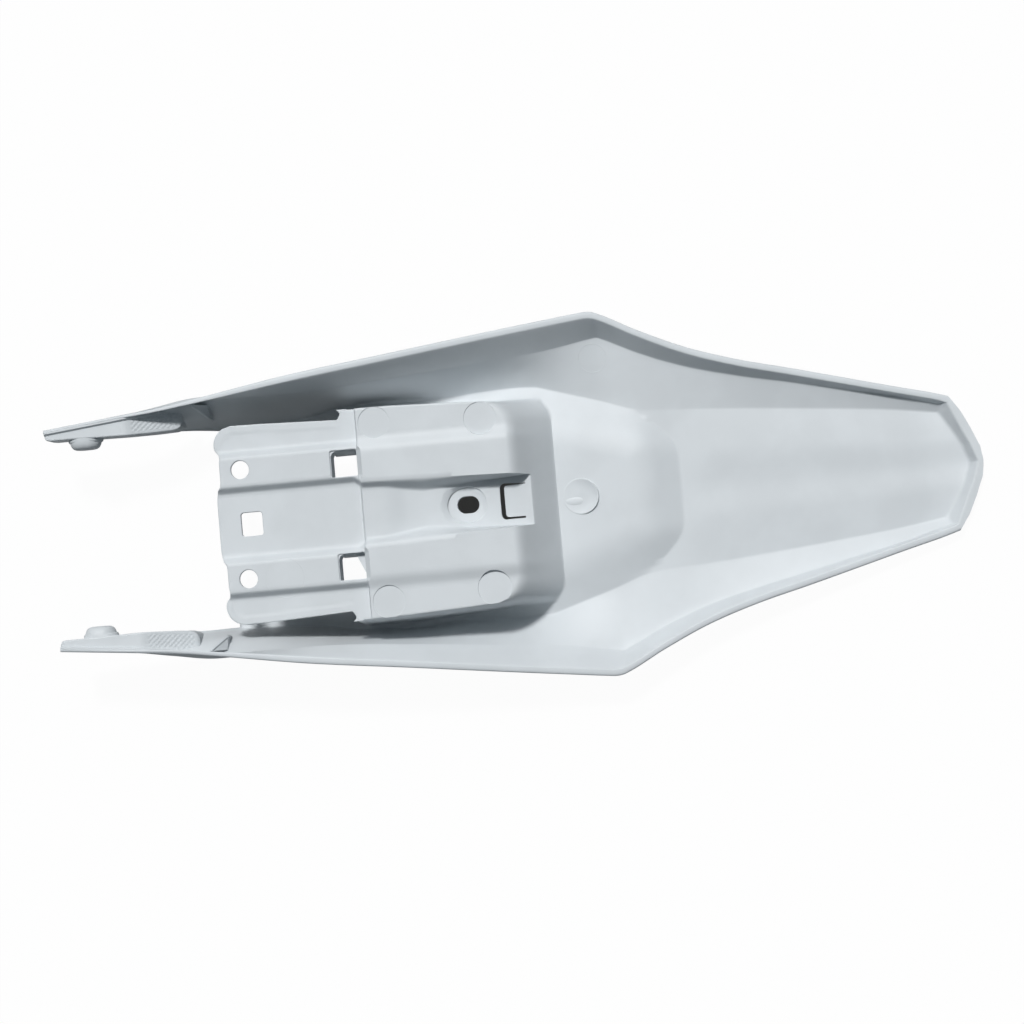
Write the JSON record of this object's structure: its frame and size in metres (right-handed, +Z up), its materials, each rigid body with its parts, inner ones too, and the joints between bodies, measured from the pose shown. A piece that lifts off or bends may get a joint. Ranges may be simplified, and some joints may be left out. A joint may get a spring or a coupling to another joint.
{
  "type": "motorcycle rear fender",
  "caption": "Moulded rear fender of an off-road motorcycle: tapering tail with a returned lip, fluted mounting tray with slotted holes, and forward arms with locating pegs.",
  "frame": {"origin": "centre of the bounding box in plan, on the surface that the fender lies on, top skin down", "axes": "+X towards the tail, +Y towards one arm, +Z up, out of the underside; the plane Y = 0 is the plane of symmetry"},
  "size_m": [0.7111, 0.279, 0.0764],
  "materials": {
    "moulded_plastic": "satin"
  },
  "bodies": {
    "root": {"rear_fender": "moulded_plastic"}
  },
  "joints": []
}
